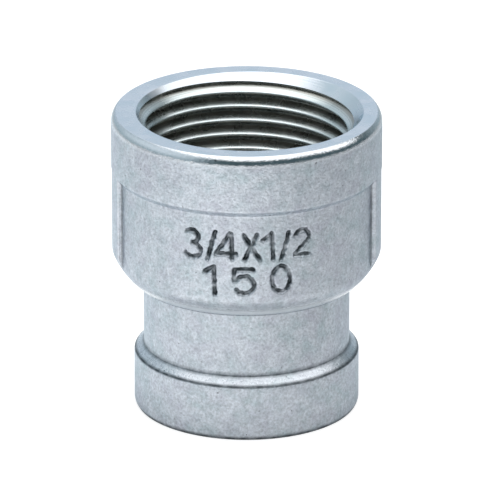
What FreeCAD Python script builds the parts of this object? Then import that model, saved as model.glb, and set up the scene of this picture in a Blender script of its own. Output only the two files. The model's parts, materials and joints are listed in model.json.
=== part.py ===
"""Banded reducing socket for 3/4 and 1/2 inch pipe threads, one casting of stainless steel.

It stands on its small end. The origin is the centre of the foot face, and +Z runs up the
bore. From the bottom up there are a foot band with a sloping shoulder, a plain neck, and a
barrel that swells out over the neck and ends in a rim band. Between the rim band and the
swell the barrel is set back a little, apart from two wide lugs on opposite sides, at +X
and -X, which a wrench grips. The bores have the threads' minor diameters. Lengths are mm.
"""

import FreeCAD, Part
import math
import os
import Sketcher

NODE = "socket_body"

# Name, value and meaning of each driving size. Lengths are in mm and angles in degrees.
SIZES = [
    ("overall_length", 37.1, "foot face to rim face"),
    ("rim_diameter", 32.5, "outside of the rim band"),
    ("rim_band_height", 6.9, "rim face to the lower corner of the rim band"),
    ("rim_edge_radius", 1.6, "cast rounding of the rim, cut short by the rim face"),
    ("rim_edge_height", 1.15, "rim face to the start of that rounding"),
    ("barrel_step", 0.65, "how far the barrel is set back from the rim band"),
    ("barrel_step_height", 0.55, "height of the slope from the rim band in to the barrel"),
    ("lug_step", 0.05, "how far the lugs are set back from the rim band"),
    ("lug_width", 9.8, "width of a lug, side to side"),
    ("swell_height", 3.75, "underside of the swell to where it meets the lugs"),
    ("swell_radius", 10.0, "radius of the bulge of the swell"),
    ("ledge_width", 1.04, "how far the underside of the swell stands out from the neck"),
    ("neck_top", 16.0, "foot face to the underside of the swell"),
    ("neck_diameter", 24.82, "outside of the neck"),
    ("foot_step", 1.14, "how far the foot band stands out from the neck"),
    ("foot_band_height", 6.8, "foot face to the upper corner of the foot band"),
    ("shoulder_height", 1.05, "height of the slope from the foot band in to the neck"),
    ("foot_edge_radius", 1.15, "cast rounding of the foot, cut short by the foot face"),
    ("foot_edge_height", 0.75, "foot face to the start of that rounding"),
    ("large_minor_diameter", 24.117, "minor diameter of the 3/4 thread"),
    ("large_mouth_diameter", 27.5, "countersink of the 3/4 thread at the rim face"),
    ("large_bore_depth", 17.3, "rim face to the end of the large bore"),
    ("waist_height", 4.5, "height of the cone between the two bores"),
    ("small_minor_diameter", 18.631, "minor diameter of the 1/2 thread"),
    ("small_mouth_diameter", 21.8, "countersink of the 1/2 thread at the foot face"),
    ("mouth_angle", 45.0, "slope of both countersinks, from the bore's axis"),
    ("lug_edge_radius", 0.2, "rounding along the sides of the lugs"),
    ("corner_break", 0.2, "small chamfer on the outer corners beside the neck"),
    ("root_radius", 0.4, "rounding of the inner corner under the swell"),
]


def size(name):
    """A driving size as expressions name it."""
    return f"Sizes.{name}"


# Radii and heights that several outlines share, worked out from the driving sizes.
LENGTH = size("overall_length")
RIM = f"{size('rim_diameter')} / 2"
BARREL = f"{RIM} - {size('barrel_step')}"
LUG = f"{RIM} - {size('lug_step')}"
NECK = f"{size('neck_diameter')} / 2"
FOOT = f"{NECK} + {size('foot_step')}"
LEDGE = f"{NECK} + {size('ledge_width')}"
BAND_BOTTOM = f"{LENGTH} - {size('rim_band_height')}"
BARREL_TOP = f"{BAND_BOTTOM} - {size('barrel_step_height')}"
LUG_TOP = f"{BAND_BOTTOM} - {size('barrel_step_height')} * {size('lug_step')} / {size('barrel_step')}"
LUG_BOTTOM = f"{size('neck_top')} + {size('swell_height')}"
LUG_HALF_ANGLE = f"asin({size('lug_width')} / 2 / ({LUG}))"
SHOULDER_TOP = f"{size('foot_band_height')} + {size('shoulder_height')}"


def flat_edge(radius, edge_radius, edge_height):
    """Radius at which a flat face cuts a rounding that ends level with the given radius."""
    return f"{radius} - {edge_radius} + sqrt({edge_radius} ^ 2 - {edge_height} ^ 2)"


def mouth_depth(mouth, minor):
    return f"({size(mouth)} - {size(minor)}) / 2 / tan({size('mouth_angle')})"


# Each corner is a radius and a height, and a third entry is the radius of the arc that
# runs on to the next corner. The outlines go round the section against the clock.
OUTSIDE = [
    ("0", "0"),
    (flat_edge(FOOT, size("foot_edge_radius"), size("foot_edge_height")), "0",
     size("foot_edge_radius")),
    (FOOT, size("foot_edge_height")),
    (FOOT, size("foot_band_height")),
    (NECK, SHOULDER_TOP),
    (NECK, size("neck_top")),
    (LEDGE, size("neck_top"), size("swell_radius")),
    (LUG, LUG_BOTTOM),
    (LUG, LUG_TOP),
    (RIM, BAND_BOTTOM),
    (RIM, f"{LENGTH} - {size('rim_edge_height')}", size("rim_edge_radius")),
    (flat_edge(RIM, size("rim_edge_radius"), size("rim_edge_height")), LENGTH),
    ("0", LENGTH),
]

SET_BACK = [
    (BARREL, size("neck_top")),
    (f"{RIM} + {size('barrel_step')}", size("neck_top")),
    (f"{RIM} + {size('barrel_step')}", f"{BAND_BOTTOM} + {size('barrel_step_height')}"),
    (BARREL, BARREL_TOP),
]

LARGE_MINOR = f"{size('large_minor_diameter')} / 2"
SMALL_MINOR = f"{size('small_minor_diameter')} / 2"
LARGE_END = f"{LENGTH} - {size('large_bore_depth')}"
BORES = [
    ("0", "0"),
    (f"{size('small_mouth_diameter')} / 2", "0"),
    (SMALL_MINOR, mouth_depth("small_mouth_diameter", "small_minor_diameter")),
    (SMALL_MINOR, f"{LARGE_END} - {size('waist_height')}"),
    (LARGE_MINOR, LARGE_END),
    (LARGE_MINOR, f"{LENGTH} - {mouth_depth('large_mouth_diameter', 'large_minor_diameter')}"),
    (f"{size('large_mouth_diameter')} / 2", LENGTH),
    ("0", LENGTH),
]


def make_sheet(doc):
    sheet = doc.addObject("Spreadsheet::Sheet", "Sizes")
    for row, (name, value, meaning) in enumerate(SIZES, start=1):
        sheet.set(f"A{row}", name)
        sheet.set(f"B{row}", str(value))
        sheet.set(f"C{row}", meaning)
        sheet.setAlias(f"B{row}", name)
    doc.recompute()
    return sheet


def origin_feature(body, role):
    return next(item for item in body.Origin.OriginFeatures if item.Role == role)


def arc_centre(start, end, radius):
    """Centre of the arc that turns against the clock from start to end."""
    chord = end - start
    middle = start + chord * 0.5
    rise = math.sqrt(max(radius ** 2 - (chord.Length / 2) ** 2, 0.0))
    return middle + FreeCAD.Vector(-chord.y, chord.x, 0).normalize() * rise


def add_sketch(body, name, plane, corners):
    """Sketch a closed outline on one of the body's planes, every corner tied to the sizes."""
    sketch = body.newObject("Sketcher::SketchObject", name)
    sketch.AttachmentSupport = [(origin_feature(body, plane), "")]
    sketch.MapMode = "FlatFace"
    body.Document.recompute()

    def point(corner):
        return FreeCAD.Vector(*(float(sketch.evalExpression(text)) for text in corner[:2]), 0)

    for index, corner in enumerate(corners):
        start = point(corner)
        end = point(corners[(index + 1) % len(corners)])
        if len(corner) == 3:
            radius = float(sketch.evalExpression(corner[2]))
            centre = arc_centre(start, end, radius)
            angles = [math.atan2(p.y - centre.y, p.x - centre.x) for p in (start, end)]
            circle = Part.Circle(centre, FreeCAD.Vector(0, 0, 1), radius)
            sketch.addGeometry(Part.ArcOfCircle(circle, *angles), False)
            row = sketch.addConstraint(Sketcher.Constraint("Radius", index, radius))
            sketch.setExpression(f"Constraints[{row}]", corner[2])
        else:
            sketch.addGeometry(Part.LineSegment(start, end), False)
    for index, corner in enumerate(corners):
        before = (index - 1) % len(corners)
        sketch.addConstraint(Sketcher.Constraint("Coincident", before, 2, index, 1))
        place = point(corner)
        for kind, axis, value, text in (
            ("DistanceX", -2, place.x, corner[0]),
            ("DistanceY", -1, place.y, corner[1]),
        ):
            if text == "0":
                sketch.addConstraint(Sketcher.Constraint("PointOnObject", index, 1, axis))
            else:
                row = sketch.addConstraint(Sketcher.Constraint(kind, -1, 1, index, 1, value))
                sketch.setExpression(f"Constraints[{row}]", text)
    body.Document.recompute()
    return sketch


def add_turned(body, kind, name, sketch):
    """Revolve or groove a sketch round the upright axis of its own plane."""
    feature = body.newObject(kind, name)
    feature.Profile = sketch
    feature.ReferenceAxis = (sketch, ["V_Axis"])
    feature.Angle = 360
    body.Document.recompute()
    return feature


def ring_edges(shape, radius, height):
    """Names of the level round edges with this radius and height."""
    names = []
    for number, edge in enumerate(shape.Edges, start=1):
        curve = edge.Curve
        if not isinstance(curve, Part.Circle):
            continue
        if abs(curve.Radius - radius) < 1e-4 and abs(curve.Center.z - height) < 1e-4:
            names.append(f"Edge{number}")
    return names


def lug_side_edges(shape, half_angle):
    """Names of the edges round the side faces of the lugs, which all point at the axis."""
    names = []
    for number, edge in enumerate(shape.Edges, start=1):
        middle = edge.valueAt((edge.FirstParameter + edge.LastParameter) / 2)
        points = [vertex.Point for vertex in edge.Vertexes] + [middle]
        angles = [math.degrees(math.atan2(abs(p.y), abs(p.x))) for p in points]
        if all(abs(angle - half_angle) < 1e-3 for angle in angles):
            names.append(f"Edge{number}")
    return names


def dress_edges(body, kind, name, edges, size_name):
    """Give edges of the body, as it is so far, a Fillet or a Chamfer of the named size."""
    base = body.Tip
    dressing = body.newObject(f"PartDesign::{kind}", name)
    dressing.Base = (base, edges)
    dressing.setExpression("Radius" if kind == "Fillet" else "Size", size(size_name))
    body.Document.recompute()
    body.Tip = dressing


def make_socket(doc):
    body = doc.addObject("PartDesign::Body", "Socket")
    body.Label = NODE

    outside = add_sketch(body, "OutsideSection", "XZ_Plane", OUTSIDE)
    add_turned(body, "PartDesign::Revolution", "Outside", outside)

    # The barrel is turned back between the lugs, once on the +Y side and once on the -Y side.
    set_back = add_sketch(body, "SetBackSection", "YZ_Plane", SET_BACK)
    groove = add_turned(body, "PartDesign::Groove", "BarrelSetBack", set_back)
    groove.Midplane = True
    groove.setExpression("Angle", f"180 deg - 2 * {LUG_HALF_ANGLE}")
    doc.recompute()
    pattern = body.newObject("PartDesign::PolarPattern", "BothSides")
    pattern.Originals = [groove]
    pattern.Axis = (origin_feature(body, "Z_Axis"), [""])
    pattern.Angle = 360
    pattern.Occurrences = 2
    body.Tip = pattern
    doc.recompute()

    bores = add_sketch(body, "BoreSection", "XZ_Plane", BORES)
    body.Tip = add_turned(body, "PartDesign::Groove", "Bores", bores)

    def value(text):
        return float(outside.evalExpression(text))

    shape = body.Tip.Shape
    corners = ring_edges(shape, value(FOOT), value(size("foot_band_height")))
    corners += ring_edges(shape, value(LEDGE), value(size("neck_top")))
    dress_edges(body, "Chamfer", "CornerBreaks", corners, "corner_break")
    root = ring_edges(body.Tip.Shape, value(NECK), value(size("neck_top")))
    dress_edges(body, "Fillet", "LedgeRoot", root, "root_radius")
    sides = lug_side_edges(body.Tip.Shape, value(LUG_HALF_ANGLE))
    dress_edges(body, "Fillet", "LugSides", sides, "lug_edge_radius")
    return body


def check(doc, body):
    for item in doc.Objects:
        bad = {"Invalid", "Error"} & set(item.State)
        if bad:
            raise RuntimeError(f"{item.Name} is {bad}")
    if body.Shape.isNull() or not body.Shape.isValid():
        raise RuntimeError(f"{body.Label} has no valid shape")
    if len(body.Shape.Solids) != 1:
        raise RuntimeError(f"{body.Label} isn't one solid")


def main():
    os.makedirs("parts", exist_ok=True)
    doc = FreeCAD.newDocument("ReducingSocket")
    make_sheet(doc)
    body = make_socket(doc)
    check(doc, body)
    body.Shape.exportStep(f"parts/{body.Label}.step")
    print(f"{body.Label}: volume {body.Shape.Volume:.1f} mm3, box {body.Shape.BoundBox}")


main()
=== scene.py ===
"""Looks of a banded reducing socket: one casting of stainless steel with both pipe threads cut.

The whole surface is one closed mesh: the cast outside with its lugs and sunk size marks,
the turned end faces and countersinks, both threads and the waist between them. Lengths in
the mesh code are millimetres, and the mesh is scaled to metres at the end. Lengths in the
materials and the studio are metres.
"""

import json
import math

import bmesh
import bpy
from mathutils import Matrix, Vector, noise


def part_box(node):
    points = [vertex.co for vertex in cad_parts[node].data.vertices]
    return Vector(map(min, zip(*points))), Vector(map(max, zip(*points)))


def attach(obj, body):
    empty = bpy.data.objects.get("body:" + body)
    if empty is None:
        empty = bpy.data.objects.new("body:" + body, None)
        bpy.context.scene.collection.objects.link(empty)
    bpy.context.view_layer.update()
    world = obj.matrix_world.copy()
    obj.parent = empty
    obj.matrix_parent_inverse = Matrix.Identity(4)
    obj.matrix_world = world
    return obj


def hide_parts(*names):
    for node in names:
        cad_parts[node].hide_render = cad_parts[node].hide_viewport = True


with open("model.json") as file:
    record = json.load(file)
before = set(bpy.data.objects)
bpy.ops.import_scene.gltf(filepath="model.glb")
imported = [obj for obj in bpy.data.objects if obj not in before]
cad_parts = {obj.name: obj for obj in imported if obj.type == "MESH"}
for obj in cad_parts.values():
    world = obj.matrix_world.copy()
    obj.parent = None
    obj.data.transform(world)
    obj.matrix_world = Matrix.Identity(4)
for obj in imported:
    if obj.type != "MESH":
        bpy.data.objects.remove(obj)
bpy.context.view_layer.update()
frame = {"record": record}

NODE = "socket_body"
MM = 0.001

# Angles round the axis: a full turn, and the side with the marks.
FULL = 2 * math.pi
FRONT = 1.5 * math.pi

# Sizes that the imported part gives, in mm.
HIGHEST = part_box(NODE)[1] / MM
LENGTH = HIGHEST.z
RIM = min(HIGHEST.x, HIGHEST.y)
MOUNTS = {mount["name"]: mount for mount in frame["record"]["mounts"]}
LARGE_MINOR = MOUNTS["large_thread"]["dims"]["r_mm"]
SMALL_MINOR = MOUNTS["small_thread"]["dims"]["r_mm"]

# The outline of the casting, radii and heights in mm.
RIM_EDGE = 1.64
RIM_EDGE_RISE = 1.22
BAND_BOTTOM = LENGTH - 6.9
BARREL = RIM - 0.65
BARREL_TOP = BAND_BOTTOM - 0.75
LUG = RIM - 0.05
LUG_WIDTH = 9.8
NECK = 12.41
NECK_TOP = 16.0
LEDGE = NECK + 1.04
SWELL_RADIUS = 10.0
LUG_BOTTOM = NECK_TOP + 3.75
FOOT = NECK + 1.14
FOOT_BAND = 6.8
SHOULDER_TOP = FOOT_BAND + 1.05
FOOT_EDGE = 1.15
FOOT_EDGE_RISE = 0.75

# How far the corners of the outline are rounded off.
RIM_FACE_CORNER = 0.1
BAND_CORNER = 0.16
BARREL_TOP_CORNER = 0.12
BARREL_FOOT_CORNER = 0.26
LUG_FOOT_CORNER = 0.16
LUG_OUTER_CORNER = 0.2
LUG_INNER_CORNER = 0.25
LEDGE_CORNER = 0.2
NECK_TOP_CORNER = 0.4
NECK_FOOT_CORNER = 0.25
FOOT_BAND_CORNER = 0.3
FOOT_FACE_CORNER = 0.06

# The field of the front that holds the sunk size marks.
MARKS_LOW = 18.68
MARKS_HIGH = 28.4
MARKS_SPAN = math.radians(33.75)

# The bores. Both threads have the pitch and depth of Whitworth pipe threads, 14 to the inch.
PITCH = 25.4 / 14
THREAD_DEPTH = 0.6403 * PITCH
LARGE_MOUTH = 13.66
LARGE_MOUTH_SHIFT = 0.38
SMALL_MOUTH = 10.9
CONE_SLOPE = 0.88
LARGE_END = LENGTH - 17.3
SMALL_END = LARGE_END - 4.5
WAIST_CORNER = 0.12
WAIST_CORNER_RISE = 0.2
# Half the form of a thread: distance up or down from the middle of a crest, and the depth there.
THREAD_FORM = [
    (0.0, 0.0), (0.04, 0.0), (0.1, 0.045), (0.19, 0.15), (0.3, 0.31),
    (0.76, 0.98), (0.82, 1.09), (0.88, THREAD_DEPTH), (PITCH / 2, THREAD_DEPTH),
]
# All heights of the form's points from the middle of a crest, from a root to the next one.
FORM_OFFSETS = [-far for far, _ in THREAD_FORM[-2:0:-1]] + [far for far, _ in THREAD_FORM]
# Height over which a thread runs out at its inner end.
FADE = 2.6
# Height of a crest straight ahead of +X, from which the helix climbs a pitch a turn.
LARGE_CREST = LENGTH - 2.08 - PITCH / 4
SMALL_CREST = 2.1
# The blunted edge of a countersink: distance outside its mouth, and depth under the end face.
MOUTH_EDGE = ((-0.03, 0.033), (0.0, 0.01), (0.04, 0.0))

# How finely the surface is divided, in columns round the axis or mm between points.
OUTSIDE_COLUMNS = 192
LARGE_COLUMNS = 240
SMALL_COLUMNS = 144
MARK_GRID = 0.105
MARK_GRID_MARGIN = 0.12
EDGE_STEPS = 7
CORNER_STEP = math.radians(24)
BOW_STEP = math.radians(18)
# Room for the columns across the side of a lug, in radians.
LUG_COLUMNS_MARGIN = 0.02

# Rows of points up the outside: the first height, the distance between two and the number.
SWELL_ROWS = (NECK_TOP + 0.8, 0.4, 3)
LUG_FOOT_ROWS = (MARKS_LOW - 0.96, 0.12, 22)
BARREL_ROWS = (23.0, 2.5, 2)
BARREL_TOP_ROWS = (BARREL_TOP - 0.36, 0.07, 20)
# Single rows on the flats, each this far from a corner, so that the flats stay flat.
FACE_MARGIN = 0.5
FOOT_EDGE_MARGIN = 0.65
FOOT_BAND_MARGIN = 0.7
SHOULDER_LOW_MARGIN = 0.4
SHOULDER_HIGH_MARGIN = 0.35
NECK_FOOT_MARGIN = 0.6
NECK_TOP_MARGIN = 0.9
LEDGE_MARGIN = 0.4
BAND_MARGIN = 2.5
RIM_EDGE_MARGINS = (0.8, 0.25)

# How the marks are cut, in mm: the depth varies by a share of it, and the scales say how
# many times a mm the depth and the ragged edge vary.
MARK_DEPTH = 0.32
MARK_HALF_WIDTH = 0.35
MARK_WALL = 0.25
MARK_RAGGED = 0.12
MARK_DEPTH_SPREAD = 0.7
MARK_RAGGED_SCALE = 2.6
MARK_DEPTH_SCALE = 1.3

# Rings round the outside, each a radius, a height, how far it reaches and its strength.
# Painted shade darkens the inner corners and the top edge of the foot band, and a painted contact
# shadow runs along the edge that the part stands on.
PAINTED_SHADE_RINGS = [
    (FOOT - 0.18, 0.16, 0.58, 1.0), (NECK, SHOULDER_TOP, 0.3, 0.75),
    (LEDGE - 0.08, NECK_TOP, 0.4, 0.9), (FOOT - 0.08, FOOT_BAND + 0.08, 0.25, 1.0),
]
# Handling has rubbed the rim's edge. The middle of the shoulder and the ledge's edge are made paler
# the same way, partly rubbed and partly a painted highlight on the shoulder and painted light under
# the swell.
RUBBED_AND_LIT = [
    (RIM - 0.25, LENGTH - 0.45, 1.3, 0.85),
    ((FOOT + NECK) / 2, (FOOT_BAND + SHOULDER_TOP) / 2, 1.3, 0.4),
    (LEDGE + 0.6, NECK_TOP + 0.75, 1.5, 0.9),
]
# The blasted skin is matt on the underside of the swell.
DULL = [(LEDGE + 0.7, NECK_TOP + 0.8, 2.3, 1.0)]

# The sides of a lug. The creases get painted shade up to a share of the lug's height, the ridges
# are rubbed from a share of it on, and both fade in as the lug comes out of the barrel.
CREASE_SHADE = 0.6
CREASE_SHARE = 0.35
RIDGE_WEAR = 0.3
RIDGE_SHARE = 0.75
LUG_SIDE_FADE = (0.1, 0.4)

# On the inward side of a crest the painted shade is full this far from the crest's middle, in mm.
CREST_SHADE = 0.14

# Distances in mm that count as nothing.
TINY = 1e-6
TOUCHING = 1e-4

# The finishes, in the order of the piece's materials.
CAST, TURNED, THREAD = range(3)

# Colours of the steel, linear.
GLANCING_TINT = (0.78, 0.85, 0.89, 1)
SKIN_COOL = (0.427, 0.489, 0.522, 1)
SKIN_WARM = (0.463, 0.482, 0.537, 1)
SKIN_PALE = (0.55, 0.585, 0.63, 1)
# Pale rubbed steel, also a painted highlight on the shoulder and painted light under the swell.
SKIN_RUBBED_AND_LIT = (0.82, 0.84, 0.86, 1)
# Near black: painted shade in corners, creases, the sunk marks and along the edge the part stands
# on.
SKIN_SHADE = (0.045, 0.053, 0.058, 1)
SKIN_PIT = (0.16, 0.17, 0.18, 1)
TURNED_COOL = (0.667, 0.73, 0.776, 1)
TURNED_PALE = (0.74, 0.765, 0.805, 1)
CREST_DARK = (0.6, 0.67, 0.67, 1)
CREST_PALE = (0.7, 0.74, 0.74, 1)
# Darker brownish tones: painted shade in the thread roots and under the crests.
ROOT_DARK = (0.26, 0.255, 0.23, 1)
ROOT_PALE = (0.47, 0.46, 0.42, 1)

# The floor: half its side, and how far it lies under the part, in metres. Its colour as a
# source of light and as it is seen, and the strength of its own light to the camera.
FLOOR_HALF = 0.45
FLOOR_GAP = 0.00002
FLOOR_LIT = (0.86, 0.86, 0.86, 1)
FLOOR_SEEN = (0.42, 0.42, 0.42, 1)
FLOOR_GLOW = 0.75
WHITE = (1, 1, 1, 1)

# Colours of the studio, linear.
LAMP_LOW = (1.55, 1.57, 1.59, 1)
LAMP_HIGH = (2.2, 2.23, 2.26, 1)
WALL = (0.4, 0.5, 0.55, 1)
WALL_TOP = (0.74, 0.84, 0.91, 1)
BACK_WALL = (0.7, 0.775, 0.86, 1)
DIM = (0.07, 0.11, 0.125, 1)
DIM_CORNER = (0.33, 0.4, 0.43, 1)
UNDER_HORIZON = (0.95, 0.95, 0.95, 1)

# Parts of the studio: the way to the middle of each, and the cosines of the angles from
# that way at which it begins and is full.
LEFT = ((-0.82, 0.57, 0.0), -0.15, 0.3)
BACK = ((-0.05, 0.9, 0.43), 0.74, 0.93)
RIGHT_CORNER = ((0.45, 0.88, 0.1), 0.82, 0.99)
OVERHEAD_LAMP = ((0.07, -0.06, 1.0), 0.63, 0.73)
RIGHT_LAMP = ((0.77, 0.06, 0.61), 0.93, 0.965)
# Cosines of the angles from straight up between which the light under the horizon ends,
# the wall grows pale and the lamps grow bright, and from straight left for the pale wall.
HORIZON = (-0.1, -0.07)
WALL_RISE = (0.05, 0.4)
LAMP_RISE = (0.8, 0.97)
WALL_LEFT = (0.4, 0.9)

# The photograph's view: from the front and a little above, through a long lens. The
# distance and the aim are in metres.
CAMERA_ELEVATION = math.radians(21.2)
CAMERA_DISTANCE = 1.010
CAMERA_AIM = Vector((0.0, 0.0, 0.01924))
CAMERA_LENS = 604.2
CAMERA_SENSOR = 36.0
CAMERA_SHIFT = 0.0068


class Surface:
    """Points and faces, gathered before the mesh is made.

    Each point has three values: how much painted shade it gets, most in corners, grooves, roots and
    the sunk marks; how worn it is, where the paler steel partly stands in for painted light; and
    how dull.
    A row of points is a list of their numbers. A stitched row or ring is a pair: such a list, and
    the place of each point along the row or its angle in the ring.
    """

    def __init__(self):
        self.points = []
        self.painted_shade = []
        self.wear_and_light = []
        self.dull = []
        self.faces = []
        self.finish = []

    def add(self, radius, angle, height, painted_shade=0.0, wear_and_light=0.0, dull=0.0):
        self.points.append((radius * math.cos(angle), radius * math.sin(angle), height))
        self.painted_shade.append(painted_shade)
        self.wear_and_light.append(wear_and_light)
        self.dull.append(dull)
        return len(self.points) - 1

    def ring(self, radius, height, angles):
        return [self.add(radius, angle, height) for angle in angles]

    def face(self, corners, finish):
        distinct = [c for i, c in enumerate(corners) if c != corners[i - 1]]
        if len(distinct) > 2:
            self.faces.append(distinct)
            self.finish.append(finish)

    def strip(self, lower, upper, finish):
        """Quads between two open rows with as many points each."""
        for i in range(len(lower) - 1):
            self.face([lower[i], lower[i + 1], upper[i + 1], upper[i]], finish)

    def band(self, lower, upper, finish):
        """Quads between two closed rings with as many points each."""
        self.strip(lower + lower[:1], upper + upper[:1], finish)

    def stitch(self, first, second, finish):
        """Triangles between two open rows that may differ in their number of points."""
        points_1, places_1 = first
        points_2, places_2 = second
        i = j = 0
        while i < len(points_1) - 1 or j < len(points_2) - 1:
            step_first = j == len(points_2) - 1
            if not step_first and i < len(points_1) - 1:
                step_first = places_1[i + 1] <= places_2[j + 1]
            if step_first:
                self.face([points_1[i], points_1[i + 1], points_2[j]], finish)
                i += 1
            else:
                self.face([points_1[i], points_2[j + 1], points_2[j]], finish)
                j += 1

    def stitch_rings(self, first, second, finish):
        """Triangles between two closed rings that may differ in their number of points."""
        closed = [(points + points[:1], [*angles, angles[0] + FULL])
                  for points, angles in (first, second)]
        self.stitch(*closed, finish)


def even_angles(count):
    return [FULL * i / count for i in range(count)]


def evenly(first, step, count):
    return [first + step * i for i in range(count)]


def nearest(values, wanted):
    """Which of the values is nearest to the wanted one."""
    return min(range(len(values)), key=lambda i: abs(values[i] - wanted))


def smooth_step(low, high, value):
    t = min(max((value - low) / (high - low), 0.0), 1.0)
    return t * t * (3 - 2 * t)


def soft_min(a, b, width):
    """The lesser of two values, with the corner between them rounded off."""
    return min(a, b) - max(width - abs(a - b), 0.0) ** 2 / (4 * width)


def soft_max(a, b, width):
    return -soft_min(-a, -b, width)


def rounded(corners):
    """Points of an outline. Each corner is a radius, a height and its rounding."""
    nearly_straight = math.radians(89)
    points = [corners[0][:2]]
    for before, corner, after in zip(corners, corners[1:], corners[2:]):
        here = Vector(corner[:2])
        back = (Vector(before[:2]) - here).normalized()
        ahead = (Vector(after[:2]) - here).normalized()
        rounding = corner[2]
        half = back.angle(ahead) / 2
        if rounding == 0 or half > nearly_straight:
            points.append(tuple(here))
            continue
        reach = rounding / math.tan(half)
        centre = here + (back + ahead).normalized() * rounding / math.sin(half)
        start = here + back * reach - centre
        turn = math.pi - 2 * half
        side = 1 if start.x * ahead.y - start.y * ahead.x > 0 else -1
        steps = max(2, round(turn / CORNER_STEP))
        for i in range(steps + 1):
            a = side * turn * i / steps
            points.append((
                centre.x + start.x * math.cos(a) - start.y * math.sin(a),
                centre.y + start.x * math.sin(a) + start.y * math.cos(a),
            ))
    points.append(corners[-1][:2])
    return points


def edge_arc(radius, height, rounding, rise, up):
    """Points of a cast edge from the side of a band to the flat face that cuts it short."""
    end = math.asin(rise / rounding)
    points = []
    for i in range(EDGE_STEPS + 1):
        a = end * i / EDGE_STEPS
        lift = rounding * math.sin(a)
        points.append((radius - rounding * (1 - math.cos(a)), height + (lift if up else -lift)))
    return points


def swell(height):
    """Radius of the bulge over the neck, on its way out to the lugs."""
    chord = math.hypot(LUG - LEDGE, LUG_BOTTOM - NECK_TOP)
    rise = math.sqrt(SWELL_RADIUS ** 2 - chord ** 2 / 4)
    centre_r = (LUG + LEDGE) / 2 - (LUG_BOTTOM - NECK_TOP) / chord * rise
    centre_z = (LUG_BOTTOM + NECK_TOP) / 2 + (LUG - LEDGE) / chord * rise
    if height >= centre_z:
        return centre_r + SWELL_RADIUS
    return centre_r + math.sqrt(SWELL_RADIUS ** 2 - (height - centre_z) ** 2)


def band_slope(height, start):
    """The slope from the barrel out to the rim band, rounded at both of its corners."""
    slope = (RIM - BARREL) / (BAND_BOTTOM - BARREL_TOP)
    line = BARREL + (height - BARREL_TOP) * slope
    return soft_min(soft_max(start, line, BARREL_TOP_CORNER), RIM, BAND_CORNER)


def barrel_radius(height):
    return band_slope(height, soft_min(swell(height), BARREL, BARREL_FOOT_CORNER))


def lug_radius(height):
    return band_slope(height, soft_min(swell(height), LUG, LUG_FOOT_CORNER))


def side_columns():
    """Angles across the side of a lug with the share of the lug's height that each keeps."""
    step = LUG - BARREL
    outer = LUG_OUTER_CORNER
    inner = LUG_INNER_CORNER
    side_face = 0.03
    quarter = [math.radians(degrees) for degrees in (0, 30, 60, 90)]
    columns = [(-outer + outer * math.sin(a), 1 - outer * (1 - math.cos(a)) / step)
               for a in quarter]
    columns += [(side_face + inner - inner * math.cos(a), inner * (1 - math.sin(a)) / step)
                for a in quarter]
    half_angle = math.asin(LUG_WIDTH / 2 / LUG)
    return [(half_angle + distance / LUG, share) for distance, share in columns]


def outside_columns():
    """Angles round the outside and, at each, how far the surface belongs to a lug."""
    sides = side_columns()
    begins = sides[0][0] - LUG_COLUMNS_MARGIN
    ends = sides[-1][0] + LUG_COLUMNS_MARGIN
    columns = []
    for angle in even_angles(OUTSIDE_COLUMNS):
        from_lug = min(abs(angle - middle) for middle in (0, math.pi, FULL))
        if not begins < from_lug < ends:
            columns.append((angle, 1.0 if from_lug <= begins else 0.0))
    for middle in (0, math.pi):
        for offset, share in sides:
            columns.append(((middle + offset) % FULL, share))
            columns.append(((middle - offset) % FULL, share))
    return sorted(columns)


def foot_outline():
    """Radii and heights from the foot face round its edge and up to the swell."""
    flat_end = FOOT - FOOT_EDGE + math.sqrt(FOOT_EDGE ** 2 - FOOT_EDGE_RISE ** 2)
    edge = edge_arc(FOOT, FOOT_EDGE_RISE, FOOT_EDGE, FOOT_EDGE_RISE, up=False)[::-1]
    face = rounded([
        (SMALL_MOUTH + FACE_MARGIN, 0.0, 0), (flat_end, 0.0, FOOT_FACE_CORNER), (*edge[1], 0),
    ])
    drop = (SHOULDER_TOP - FOOT_BAND) / (FOOT - NECK)
    side = rounded([
        (FOOT, FOOT_EDGE_RISE + FOOT_EDGE_MARGIN, 0),
        (FOOT, FOOT_BAND - FOOT_BAND_MARGIN, 0),
        (FOOT, FOOT_BAND, FOOT_BAND_CORNER),
        (FOOT - SHOULDER_LOW_MARGIN, FOOT_BAND + SHOULDER_LOW_MARGIN * drop, 0),
        (NECK + SHOULDER_HIGH_MARGIN, SHOULDER_TOP - SHOULDER_HIGH_MARGIN * drop, 0),
        (NECK, SHOULDER_TOP, NECK_FOOT_CORNER),
        (NECK, SHOULDER_TOP + NECK_FOOT_MARGIN, 0),
        (NECK, NECK_TOP - NECK_TOP_MARGIN, 0),
        (NECK, NECK_TOP, NECK_TOP_CORNER),
        (LEDGE, NECK_TOP, LEDGE_CORNER),
        (swell(NECK_TOP + LEDGE_MARGIN), NECK_TOP + LEDGE_MARGIN, 0),
    ])
    return face[:-1] + edge[1:] + side


def rim_outline():
    """Radii and heights up the rim band and round its edge to the rim face."""
    edge_start = LENGTH - RIM_EDGE_RISE
    side = [(RIM, BAND_BOTTOM + BAND_MARGIN)]
    side += [(RIM, edge_start - margin) for margin in RIM_EDGE_MARGINS]
    *edge, before, corner = edge_arc(RIM, edge_start, RIM_EDGE, RIM_EDGE_RISE, up=True)
    face = rounded([
        (*before, 0), (*corner, RIM_FACE_CORNER), (LARGE_MOUTH + FACE_MARGIN, LENGTH, 0),
    ])
    return side + edge + face


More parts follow.
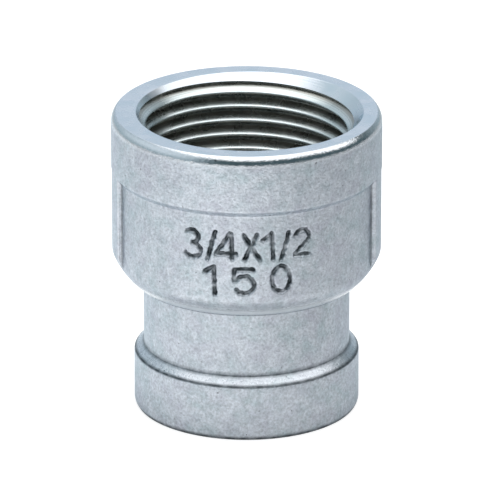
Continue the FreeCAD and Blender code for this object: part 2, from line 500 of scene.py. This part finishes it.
def outside_rows():
    """Rows up the outside, each a radius off the lugs, a radius on them and a height."""
    heights = evenly(*SWELL_ROWS) + evenly(*LUG_FOOT_ROWS)
    heights += evenly(*BARREL_ROWS) + [MARKS_HIGH] + evenly(*BARREL_TOP_ROWS)
    rows = [(radius, radius, height) for radius, height in foot_outline()]
    rows += [(barrel_radius(height), lug_radius(height), height) for height in heights]
    rows += [(radius, radius, height) for radius, height in rim_outline()]
    return rows


def closeness(radius, height, rings):
    """How strongly the nearest of some rings is felt at a place of the outside."""
    return max(strength * (1 - smooth_step(0.0, reach, math.hypot(radius - r, height - z)))
               for r, z, reach, strength in rings)


def bow(across, up, half_width, half_height, start, end):
    """A round stroke of a mark: part of an ellipse, from one angle to another in degrees."""
    begin = math.radians(start)
    turn = math.radians(end - start)
    steps = max(4, round(abs(turn) / BOW_STEP))
    angles = [begin + turn * i / steps for i in range(steps + 1)]
    return [(across + half_width * math.cos(a), up + half_height * math.sin(a)) for a in angles]


def mark_strokes():
    """Middle lines of the sunk signs 3/4 X 1/2 over 150, in mm across the front and up."""
    three = [bow(-6.78, 26.51, 0.88, 0.8, 135, -80), bow(-6.65, 24.81, 1.06, 0.86, 82, -150)]
    four = [[(-2.0, 27.29), (-3.66, 24.71), (-1.25, 24.75)], [(-1.84, 27.24), (-1.72, 24.09)]]
    cross = [[(-0.28, 27.14), (1.58, 24.01)], [(1.26, 27.19), (-0.22, 24.09)]]
    one = [[(1.92, 26.49), (3.04, 27.24), (3.22, 24.01)]]
    two = [bow(6.86, 26.45, 0.93, 0.86, 165, -25) + [(5.92, 24.39)], [(5.92, 24.24), (7.85, 24.09)]]
    slashes = [[(-3.8, 27.34), (-4.72, 23.94)], [(5.14, 27.19), (4.2, 23.91)]]
    lower_one = [[(-5.08, 22.29), (-3.95, 22.97), (-3.83, 19.54)]]
    five = [
        [(0.82, 22.77), (-1.48, 22.77), (-1.52, 21.34)],
        bow(-0.25, 20.81, 1.17, 1.08, 150, -145),
    ]
    nought = [bow(4.17, 21.38, 1.13, 1.6, 0, 360)]
    return three + four + cross + one + two + slashes + lower_one + five + nought


def distance_to(point, start, end):
    """Distance of a point from the straight stretch between two others."""
    along = (end[0] - start[0], end[1] - start[1])
    to = (point[0] - start[0], point[1] - start[1])
    squared = along[0] ** 2 + along[1] ** 2
    t = min(max((to[0] * along[0] + to[1] * along[1]) / squared, 0.0), 1.0)
    return math.hypot(to[0] - t * along[0], to[1] - t * along[1])


def mark_noise(across, up, scale, layer):
    """A value round zero that varies over the front, another in each layer."""
    return noise.noise(Vector((across, up, layer)) * scale)


def mark_sink(across, up, pieces):
    """How deep the marks are sunk at a place on the front, as a share of their depth."""
    near = MARK_HALF_WIDTH + MARK_RAGGED
    for start, end in pieces:
        if min(start[0], end[0]) - near < across < max(start[0], end[0]) + near:
            if min(start[1], end[1]) - near < up < max(start[1], end[1]) + near:
                near = min(near, distance_to((across, up), start, end))
    ragged = MARK_RAGGED * mark_noise(across, up, MARK_RAGGED_SCALE, layer=0.0)
    depth = 1 + MARK_DEPTH_SPREAD * mark_noise(across, up, MARK_DEPTH_SCALE, layer=5.0)
    return depth * smooth_step(0.0, MARK_WALL, MARK_HALF_WIDTH + ragged - near)


def add_marks(surface, edges):
    """The fine field with the marks, stitched to the four edges of the hole left for it."""
    half = MARKS_SPAN - MARK_GRID_MARGIN / BARREL
    rise = MARKS_HIGH - MARKS_LOW - 2 * MARK_GRID_MARGIN
    across_steps = round(2 * half * BARREL / MARK_GRID)
    up_steps = round(rise / MARK_GRID)
    angles = [FRONT - half + 2 * half * i / across_steps for i in range(across_steps + 1)]
    heights = evenly(MARKS_LOW + MARK_GRID_MARGIN, rise / up_steps, up_steps + 1)
    pieces = [pair for stroke in mark_strokes() for pair in zip(stroke, stroke[1:])]
    field = []
    for height in heights:
        radius = barrel_radius(height)
        row = []
        for angle in angles:
            sink = mark_sink((angle - FRONT) * BARREL, height, pieces)
            # A mark's depth also sets its painted shade, darker where it is sunk deeper.
            row.append(surface.add(radius - MARK_DEPTH * sink, angle, height, sink))
        field.append(row)
    for lower, upper in zip(field, field[1:]):
        surface.strip(lower, upper, CAST)
    low, high, left, right = edges
    surface.stitch(low, (field[0], angles), CAST)
    surface.stitch(high, (field[-1], angles), CAST)
    surface.stitch(left, ([row[0] for row in field], heights), CAST)
    surface.stitch(right, ([row[-1] for row in field], heights), CAST)


def add_outside_row(surface, columns, row, left_out):
    """One row of points round the outside, with None for the columns that are left out."""
    barrel, lug, height = row
    # Painted shade from the rings and in the lug creases; wear, which on the shoulder and under the
    # swell also stands in for painted light.
    shade = closeness(barrel, height, PAINTED_SHADE_RINGS)
    rub_and_light = closeness(barrel, height, RUBBED_AND_LIT)
    dull = closeness(barrel, height, DULL)
    side = smooth_step(*LUG_SIDE_FADE, lug - barrel)
    points = []
    for c, (angle, share) in enumerate(columns):
        if c in left_out:
            points.append(None)
            continue
        radius = barrel + (lug - barrel) * share
        crease = CREASE_SHADE * side if 0 < share < CREASE_SHARE else 0.0
        ridge = RIDGE_WEAR * side if RIDGE_SHARE < share < 1 else 0.0
        painted_shade = max(shade, crease)
        points.append(surface.add(radius, angle, height, painted_shade, max(rub_and_light, ridge), dull))
    return points


def add_outside(surface):
    """The outside from the foot face to the rim face. Returns its first and last rings."""
    columns = outside_columns()
    rows = outside_rows()
    angles = [angle for angle, _ in columns]
    levels = [height for _, _, height in rows]
    in_marks = [c for c, angle in enumerate(angles) if abs(angle - FRONT) < MARKS_SPAN + TINY]
    first, last = in_marks[0], in_marks[-1]
    bottom = nearest(levels, MARKS_LOW)
    top = nearest(levels, MARKS_HIGH)
    grid = []
    for r, row in enumerate(rows):
        left_out = range(first + 1, last) if bottom < r < top else ()
        grid.append(add_outside_row(surface, columns, row, left_out))
    for r, (lower, upper) in enumerate(zip(grid, grid[1:])):
        level = abs(levels[r] - levels[r + 1]) < TINY
        on_end_face = level and min(levels[r], LENGTH - levels[r]) < TINY
        for c in range(len(columns)):
            if bottom <= r < top and first <= c < last:
                continue
            after = (c + 1) % len(columns)
            corners = [lower[c], lower[after], upper[after], upper[c]]
            surface.face(corners, TURNED if on_end_face else CAST)
    across = angles[first:last + 1]
    up = levels[bottom:top + 1]
    add_marks(surface, [
        (grid[bottom][first:last + 1], across),
        (grid[top][first:last + 1], across),
        ([row[first] for row in grid[bottom:top + 1]], up),
        ([row[last] for row in grid[bottom:top + 1]], up),
    ])
    return (grid[0], angles), (grid[-1], angles)


def form_depth(offset):
    """Depth of the thread at a distance from the middle of a crest."""
    for (near, shallow), (far, deep) in zip(THREAD_FORM, THREAD_FORM[1:]):
        if offset <= far:
            return shallow + (deep - shallow) * (offset - near) / (far - near)
    return THREAD_DEPTH


class Thread:
    """A right-hand thread from its inner end to the countersink in an end face.

    The rows of points follow the helix, so the crests are crisp. The countersink is off
    centre by a shift towards +X. Outward is 1 if the thread leads up out of the part and
    -1 if it leads down. Low and high are where its rows begin and end.
    """

    def __init__(self, minor, inner, face, mouth, crest, shift=0.0):
        self.minor = minor
        self.inner = inner
        self.face = face
        self.mouth = mouth
        self.crest = crest
        self.shift = shift
        self.outward = 1 if face > inner else -1
        major = minor + THREAD_DEPTH
        clear_of_roots = face - self.outward * (mouth - shift - major) / CONE_SLOPE
        self.low, self.high = sorted((inner, clear_of_roots))
        first = math.floor((self.low - crest) / PITCH) - 2
        last = math.ceil((self.high - crest) / PITCH) + 2
        self.turns = range(first, last)

    def mouth_radius(self, angle, wider=0.0):
        return self.mouth + wider + self.shift * math.cos(angle)

    def cone_radius(self, height, angle):
        return self.mouth_radius(angle) - CONE_SLOPE * abs(self.face - height)

    def past_crest(self, height, angle):
        """Distance up from the middle of the nearest crest."""
        turns = (height - self.crest) / PITCH - angle / FULL
        return (turns - round(turns)) * PITCH

    def thread_radius(self, height, angle):
        depth = form_depth(abs(self.past_crest(height, angle)))
        run_out = smooth_step(0.0, FADE, self.outward * (height - self.inner))
        return self.minor + depth * run_out

    def heights(self, angle):
        """Heights of one column's points, some moved to where the countersink cuts a thread."""
        even = [self.crest + PITCH * (turn + angle / FULL) + offset
                for turn in self.turns for offset in FORM_OFFSETS]
        even = [min(max(height, self.low), self.high) for height in even]
        above = [self.thread_radius(height, angle) - self.cone_radius(height, angle)
                 for height in even]
        moved = list(even)
        for i in range(len(even) - 1):
            if (above[i] > 0) != (above[i + 1] > 0):
                share = above[i] / (above[i] - above[i + 1])
                nearer = i if share < 0.5 else i + 1
                if self.low < even[nearer] < self.high:
                    moved[nearer] = even[i] + (even[i + 1] - even[i]) * share
        return moved

    def add_column(self, surface, angle):
        """Points up the bore at one angle, each with its height and if the countersink has it."""
        column = []
        for height in self.heights(angle):
            if column and height in (self.low, self.high) and height == column[-1][1]:
                column.append(column[-1])
                continue
            cone = self.cone_radius(height, angle)
            radius = max(self.thread_radius(height, angle), cone)
            on_cone = cone > radius - TOUCHING
            # Painted shade deepens towards the roots and over the inward side of each crest; the
            # countersink has none.
            inward = -self.outward * self.past_crest(height, angle)
            hidden = max((radius - self.minor) / THREAD_DEPTH, smooth_step(0.0, CREST_SHADE, inward))
            painted_shade = 0.0 if on_cone else hidden
            column.append((surface.add(radius, angle, height, painted_shade), height, on_cone))
        return column

    def add_to(self, surface, count):
        """Returns the ring at the inner end and the ring on the end face round the mouth."""
        angles = even_angles(count)
        columns = [self.add_column(surface, angle) for angle in angles]
        # Once round, the helix has climbed a pitch and meets the first column a turn higher.
        seam = columns[0][len(FORM_OFFSETS):] + [columns[0][-1]] * len(FORM_OFFSETS)
        for before, after in zip(columns, columns[1:] + [seam]):
            for k in range(len(before) - 1):
                corners = [before[k], after[k], after[k + 1], before[k + 1]]
                finish = TURNED if all(on_cone for _, _, on_cone in corners) else THREAD
                surface.face([point for point, _, _ in corners], finish)
        lowest = [column[0][0] for column in columns]
        highest = [column[-1][0] for column in columns]
        end, ring = (lowest, highest) if self.outward > 0 else (highest, lowest)
        for wider, drop in MOUTH_EDGE:
            height = self.face - self.outward * drop
            edge = [surface.add(self.mouth_radius(angle, wider), angle, height)
                    for angle in angles]
            surface.band(ring, edge, TURNED)
            ring = edge
        return (end, angles), (ring, angles)


def add_waist(surface, upper, lower):
    """The cone between the two threads, from the large bore down to the small one."""
    upper_points, upper_angles = upper
    lower_points, lower_angles = lower
    near = surface.ring(LARGE_MINOR - WAIST_CORNER, LARGE_END - WAIST_CORNER_RISE, upper_angles)
    far = surface.ring(SMALL_MINOR + WAIST_CORNER, SMALL_END + WAIST_CORNER_RISE, lower_angles)
    surface.band(upper_points, near, CAST)
    surface.stitch_rings((near, upper_angles), (far, lower_angles), CAST)
    surface.band(far, lower_points, CAST)


def make_mesh(label, surface, materials):
    mesh = bpy.data.meshes.new(label)
    points = [tuple(value * MM for value in point) for point in surface.points]
    mesh.from_pydata(points, [], surface.faces)
    attributes = {"painted_shade": surface.painted_shade, "wear_and_light": surface.wear_and_light, "dull": surface.dull}
    for name, values in attributes.items():
        mesh.attributes.new(name, "FLOAT", "POINT").data.foreach_set("value", values)
    for material in materials:
        mesh.materials.append(material)
    mesh.polygons.foreach_set("material_index", surface.finish)
    mesh.polygons.foreach_set("use_smooth", [True] * len(mesh.polygons))
    return mesh


def finish_mesh(mesh):
    """Drops unused points, turns all faces outward and sharpens the countersinks' inner edges."""
    editing = bmesh.new()
    editing.from_mesh(mesh)
    loose = [vertex for vertex in editing.verts if not vertex.link_faces]
    bmesh.ops.delete(editing, geom=loose, context="VERTS")
    bmesh.ops.recalc_face_normals(editing, faces=editing.faces)
    for edge in editing.edges:
        edge.smooth = {face.material_index for face in edge.link_faces} != {TURNED, THREAD}
    editing.to_mesh(mesh)
    editing.free()


def make_piece(label, surface, materials):
    mesh = make_mesh(label, surface, materials)
    finish_mesh(mesh)
    piece = bpy.data.objects.new(label, mesh)
    bpy.context.scene.collection.objects.link(piece)
    normals = piece.modifiers.new("FlatsStayFlat", "WEIGHTED_NORMAL")
    normals.weight = 60
    normals.keep_sharp = True
    return piece


class Nodes:
    """Short calls for the nodes of one material or world."""

    def __init__(self, tree):
        self.tree = tree
        tree.nodes.clear()

    def put(self, socket, value):
        """Links an output to a socket, or sets the socket to a value."""
        if isinstance(value, bpy.types.NodeSocket):
            self.tree.links.new(value, socket)
        else:
            socket.default_value = value

    def add(self, kind, inputs=(), **settings):
        node = self.tree.nodes.new(kind)
        for name, value in settings.items():
            setattr(node, name, value)
        for socket, value in dict(inputs).items():
            self.put(node.inputs[socket], value)
        return node

    def noise(self, place, scale, detail=2.0, roughness=0.5):
        return self.add("ShaderNodeTexNoise", {
            "Vector": place, "Scale": scale, "Detail": detail, "Roughness": roughness,
        }).outputs["Fac"]

    def spread(self, value, low, high, to_low=0.0, to_high=1.0, smooth=False):
        """A value taken from one range to another, and held at its ends."""
        node = self.add("ShaderNodeMapRange", {
            "Value": value, "From Min": low, "From Max": high,
            "To Min": to_low, "To Max": to_high,
        })
        if smooth:
            node.interpolation_type = "SMOOTHSTEP"
        return node.outputs["Result"]

    def mix(self, factor, first, second, blend="MIX"):
        """A mix of two colours. Inputs 0, 6 and 7 and output 2 are the ones for colour."""
        node = self.add("ShaderNodeMix", data_type="RGBA", blend_type=blend)
        for index, value in ((0, factor), (6, first), (7, second)):
            self.put(node.inputs[index], value)
        return node.outputs[2]

    def multiply(self, first, second):
        return self.add("ShaderNodeMath", {0: first, 1: second}, operation="MULTIPLY").outputs[0]

    def maximum(self, first, second):
        return self.add("ShaderNodeMath", {0: first, 1: second}, operation="MAXIMUM").outputs[0]

    def shaded(self, colour, strength):
        """A colour made darker or paler by a value."""
        grey = self.add("ShaderNodeCombineColor", {0: strength, 1: strength, 2: strength})
        return self.mix(1.0, colour, grey.outputs[0], "MULTIPLY")

    def bump(self, height, distance, strength=1.0, normal=None):
        inputs = {"Height": height, "Distance": distance, "Strength": strength}
        if normal is not None:
            inputs["Normal"] = normal
        return self.add("ShaderNodeBump", inputs).outputs["Normal"]

    def point_value(self, name):
        return self.add("ShaderNodeAttribute", attribute_name=name).outputs["Fac"]

    def from_axis(self, place):
        """Distance of a place from the axis of the bores, in metres."""
        flat = self.add("ShaderNodeVectorMath", {0: place, 1: (1.0, 1.0, 0.0)},
                        operation="MULTIPLY").outputs[0]
        return self.add("ShaderNodeVectorMath", {0: flat}, operation="LENGTH").outputs["Value"]

    def tool_rings(self, place):
        """Noise that is the same all round the axis, as a turning tool leaves it."""
        return self.add("ShaderNodeTexNoise", {
            "W": self.from_axis(place), "Scale": 9000.0, "Detail": 2.0,
        }, noise_dimensions="1D").outputs["Fac"]


def steel(name):
    """A new metal material with its nodes, shader and object-space place."""
    material = bpy.data.materials.new(name)
    material.use_nodes = True
    nodes = Nodes(material.node_tree)
    shader = nodes.add("ShaderNodeBsdfPrincipled", {
        "Metallic": 1.0, "Specular Tint": GLANCING_TINT,
    })
    nodes.add("ShaderNodeOutputMaterial", {"Surface": shader.outputs["BSDF"]})
    place = nodes.add("ShaderNodeTexCoord").outputs["Object"]
    return material, nodes, shader, place


def connect(nodes, shader, **values):
    """Puts values on a shader's sockets, named with an underscore for each space."""
    for socket, value in values.items():
        nodes.put(shader.inputs[socket.replace("_", " ")], value)


def cast_skin():
    """Blasted casting skin: a fine grain, cloudy tints, tiny pits, painted shade in corners,
    creases and the marks, and rubbed edges with paler steel as painted light on the shoulder and
    under the swell.
    """
    material, nodes, shader, place = steel("cast_skin")
    clouds = nodes.noise(place, scale=760.0, detail=3.0, roughness=0.6)
    tints = nodes.noise(place, scale=300.0)
    grain = nodes.noise(place, scale=3000.0, detail=3.0, roughness=0.7)
    pits = nodes.spread(nodes.noise(place, scale=1900.0, detail=1.0), 0.77, 0.8)
    painted_shade = nodes.point_value("painted_shade")
    worn_and_lit = nodes.point_value("wear_and_light")
    dull = nodes.point_value("dull")

    tint = nodes.mix(nodes.spread(tints, 0.38, 0.62), SKIN_COOL, SKIN_WARM)
    clouded = nodes.mix(nodes.spread(clouds, 0.36, 0.64), tint, SKIN_PALE)
    speckled = nodes.shaded(clouded, nodes.spread(grain, 0.3, 0.7, to_low=0.69, to_high=1.26))
    # Paler steel: partly rubbed wear, partly a painted highlight on the shoulder and painted light
    # under the swell.
    rubbed = nodes.mix(nodes.spread(worn_and_lit, 0.1, 1.0), speckled, SKIN_RUBBED_AND_LIT)
    # Near black in patches: painted shade in corners, creases, the marks and along the edge the
    # part stands on.
    patches = nodes.spread(nodes.noise(place, scale=900.0), 0.36, 0.6, to_low=0.7)
    shade = nodes.multiply(nodes.spread(painted_shade, 0.05, 0.9, to_high=0.97), patches)
    sunk = nodes.mix(shade, rubbed, SKIN_SHADE)
    pitted = nodes.mix(pits, sunk, SKIN_PIT)

    waves = nodes.bump(nodes.noise(place, scale=170.0), distance=0.00012)
    relief = nodes.spread(worn_and_lit, 0.15, 0.7, to_low=0.8, to_high=0.35)
    rough = nodes.spread(grain, 0.3, 0.7, to_low=0.33, to_high=0.48)
    smooth = nodes.spread(worn_and_lit, 0.15, 0.6, to_low=1.0, to_high=0.42)
    connect(nodes, shader, Base_Color=pitted,
            Normal=nodes.bump(grain, distance=0.00009, strength=relief, normal=waves),
            Roughness=nodes.multiply(rough, smooth),
            Metallic=nodes.spread(dull, 0.0, 1.0, to_low=1.0, to_high=0.3))
    return material


def turned_face():
    """Turned steel of the end faces and countersinks, with fine rings from the tool."""
    material, nodes, shader, place = steel("turned_face")
    smudges = nodes.noise(place, scale=420.0)
    connect(nodes, shader,
            Base_Color=nodes.mix(nodes.spread(smudges, 0.3, 0.7), TURNED_COOL, TURNED_PALE),
            Normal=nodes.bump(nodes.tool_rings(place), distance=0.000012, strength=0.8),
            Roughness=nodes.spread(smudges, 0.3, 0.7, to_low=0.2, to_high=0.32))
    return material


def thread_steel():
    """Cut threads, bright on the crests, and darker and brownish towards the roots and under each
    crest as painted shade.
    """
    material, nodes, shader, place = steel("thread_steel")
    stains = nodes.noise(place, scale=380.0, detail=3.0)
    rings = nodes.tool_rings(place)
    # The darker brownish tones towards the roots and under the crests are painted shade.
    depth = nodes.spread(nodes.point_value("painted_shade"), 0.18, 0.8, smooth=True)
    crest = nodes.mix(stains, CREST_DARK, CREST_PALE)
    root = nodes.mix(stains, ROOT_DARK, ROOT_PALE)
    tone = nodes.mix(depth, crest, root)
    connect(nodes, shader,
            Base_Color=nodes.shaded(tone, nodes.spread(rings, 0.3, 0.7, to_low=0.75, to_high=1.2)),
            Normal=nodes.bump(rings, distance=0.00001, strength=0.7),
            Roughness=nodes.spread(stains, 0.3, 0.7, to_low=0.22, to_high=0.33))
    return material


def floor_paint():
    """White paper. To the camera and in the metal it is part lit and part glowing white.

    In the metal its glow is painted light: dimmer to the right as painted shade on the metal's
    right side, dimmer far off, dimmer close round the object as a painted contact shadow, and
    brightest in front.
    """
    material = bpy.data.materials.new("floor_paint")
    material.use_nodes = True
    nodes = Nodes(material.node_tree)
    path = nodes.add("ShaderNodeLightPath").outputs
    place = nodes.add("ShaderNodeTexCoord").outputs["Object"]
    axes = nodes.add("ShaderNodeSeparateXYZ", {0: place}).outputs
    away = nodes.from_axis(place)
    # The glow in the metal is painted light, dimmed to the right as painted shade and close round
    # the object as a painted contact shadow.
    right_shade = nodes.spread(axes["X"], -0.01, 0.042, to_low=0.9, to_high=0.44, smooth=True)
    forward = nodes.spread(axes["Y"], -0.09, -0.03, to_low=1.72, to_high=0.95)
    contact_shadow = nodes.spread(away, 0.013, 0.022, to_low=0.5, smooth=True)
    far = nodes.spread(away, 0.1, 0.22, to_low=1.0, to_high=0.18)
    glow = nodes.multiply(nodes.multiply(right_shade, forward), nodes.multiply(contact_shadow, far))
    mirrored = nodes.maximum(path["Is Glossy Ray"], path["Is Transmission Ray"])
    to_camera = nodes.multiply(path["Is Camera Ray"], FLOOR_GLOW)
    seen = nodes.maximum(path["Is Camera Ray"], mirrored)
    shader = nodes.add("ShaderNodeBsdfPrincipled", {
        "Base Color": nodes.mix(seen, FLOOR_LIT, FLOOR_SEEN),
        "Emission Strength": nodes.maximum(to_camera, nodes.multiply(mirrored, glow)),
        "Emission Color": WHITE, "Roughness": 0.9, "Specular IOR Level": 0.1,
    })
    nodes.add("ShaderNodeOutputMaterial", {"Surface": shader.outputs["BSDF"]})
    return material


def make_floor():
    square = ((-1, -1), (1, -1), (1, 1), (-1, 1))
    corners = [(FLOOR_HALF * x, FLOOR_HALF * y, -FLOOR_GAP) for x, y in square]
    mesh = bpy.data.meshes.new("floor")
    mesh.from_pydata(corners, [], [(0, 1, 2, 3)])
    mesh.materials.append(floor_paint())
    floor = bpy.data.objects.new("floor", mesh)
    bpy.context.scene.collection.objects.link(floor)


def make_world():
    """A studio with a broad white light overhead and a smaller one high on the right.

    It is pale to the left, white behind, dim in the far right corner and nearly dark in
    front and to the right.
    """
    world = bpy.data.worlds.new("studio")
    bpy.context.scene.world = world
    world.use_nodes = True
    nodes = Nodes(world.node_tree)
    way = nodes.add("ShaderNodeTexCoord").outputs["Generated"]

    def facing(direction):
        direction = tuple(Vector(direction).normalized())
        dot = nodes.add("ShaderNodeVectorMath", {0: way, 1: direction}, operation="DOT_PRODUCT")
        return dot.outputs["Value"]

    def part(direction, begins, full):
        return nodes.spread(facing(direction), begins, full, smooth=True)

    up = facing((0.0, 0.0, 1.0))
    dim = nodes.mix(part(*RIGHT_CORNER), DIM, DIM_CORNER)
    high_on_left = nodes.multiply(nodes.spread(facing((-1.0, 0.0, 0.0)), *WALL_LEFT),
                                  nodes.spread(up, *WALL_RISE))
    wall = nodes.mix(high_on_left, WALL, WALL_TOP)
    sides = nodes.mix(part(*LEFT), dim, wall)
    walls = nodes.mix(part(*BACK), sides, BACK_WALL)
    lamps = nodes.mix(nodes.spread(up, *LAMP_RISE), LAMP_LOW, LAMP_HIGH)
    sky = nodes.mix(nodes.maximum(part(*OVERHEAD_LAMP), part(*RIGHT_LAMP)), walls, lamps)
    colour = nodes.mix(nodes.spread(up, *HORIZON), UNDER_HORIZON, sky)
    background = nodes.add("ShaderNodeBackground", {"Color": colour, "Strength": 1.0})
    nodes.add("ShaderNodeOutputWorld", {"Surface": background.outputs[0]})


def make_camera():
    camera = bpy.data.objects.new("camera", bpy.data.cameras.new("camera"))
    away = Vector((0.0, -math.cos(CAMERA_ELEVATION), math.sin(CAMERA_ELEVATION)))
    camera.location = CAMERA_AIM + away * CAMERA_DISTANCE
    camera.rotation_euler = (math.pi / 2 - CAMERA_ELEVATION, 0.0, 0.0)
    camera.data.sensor_width = CAMERA_SENSOR
    camera.data.lens = CAMERA_LENS
    camera.data.shift_x = CAMERA_SHIFT
    bpy.context.scene.collection.objects.link(camera)
    bpy.context.scene.camera = camera


def make_socket():
    surface = Surface()
    foot, rim = add_outside(surface)
    large = Thread(LARGE_MINOR, LARGE_END, LENGTH, LARGE_MOUTH, LARGE_CREST, LARGE_MOUTH_SHIFT)
    small = Thread(SMALL_MINOR, SMALL_END, 0.0, SMALL_MOUTH, SMALL_CREST)
    large_end, large_mouth = large.add_to(surface, LARGE_COLUMNS)
    small_end, small_mouth = small.add_to(surface, SMALL_COLUMNS)
    surface.stitch_rings(rim, large_mouth, TURNED)
    surface.stitch_rings(foot, small_mouth, TURNED)
    add_waist(surface, large_end, small_end)
    piece = make_piece("socket", surface, [cast_skin(), turned_face(), thread_steel()])
    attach(piece, "root")
    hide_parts(NODE)


make_camera()
make_world()
make_floor()
make_socket()
bpy.context.scene.view_settings.view_transform = "Standard"
bpy.context.view_layer.update()
